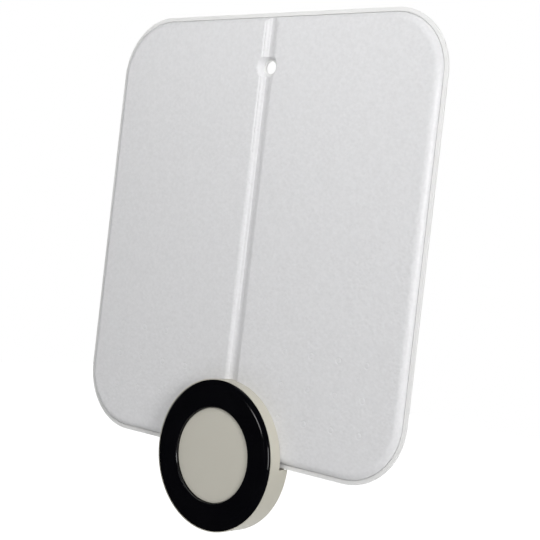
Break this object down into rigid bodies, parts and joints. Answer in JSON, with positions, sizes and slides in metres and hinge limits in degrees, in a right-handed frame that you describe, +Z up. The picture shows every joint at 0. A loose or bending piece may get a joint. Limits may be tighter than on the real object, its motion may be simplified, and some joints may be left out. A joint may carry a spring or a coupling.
{
  "type": "flat indoor tv antenna",
  "caption": "Flat indoor TV antenna: thin white textured panel with a stepped groove and a hanging hole, and a round ivory and black hub gripping its bottom edge.",
  "frame": {"origin": "centre of the hanging hole on the panel's back face", "axes": "+Z up, -Y to the front that faces the room, +X to the right as seen from the front"},
  "size_m": [0.225, 0.0157, 0.2791],
  "materials": {
    "panel_front": "fine leather grain, satin pearl white",
    "panel_back": "fine grain, satin white",
    "hub_ivory": "satin ivory",
    "cap_ivory": "satin ivory, bare",
    "bezel_black": "high gloss black",
    "loop_sheet": "rolled sheet",
    "feed_strip": "plain strip",
    "board": "glass-filled board with green resist",
    "ferrite": "ground ferrite",
    "winding": "enamelled copper wire",
    "chip": "fired ceramic",
    "socket_metal": "bright plated",
    "socket_contact": "gold plated",
    "socket_insulator": "natural fluoropolymer",
    "screw_steel": "zinc plated"
  },
  "bodies": {
    "root": {"front_cover": "panel_front", "rear_cover": "panel_back", "radiator_left": "loop_sheet", "radiator_right": "loop_sheet", "feed_strip_left": "feed_strip", "feed_strip_right": "feed_strip", "feed_rivets": "feed_strip", "hub_body": "hub_ivory", "hub_rear_cover": "hub_ivory", "centre_cap": "cap_ivory", "bezel_ring": "bezel_black", "matching_board": "board", "balun_core": "ferrite", "balun_winding": "winding", "chip_capacitors": "chip", "socket_shell": "socket_metal", "socket_contact": "socket_contact", "socket_insulator": "socket_insulator", "board_screws": "screw_steel", "hub_screws": "screw_steel"}
  },
  "joints": []
}
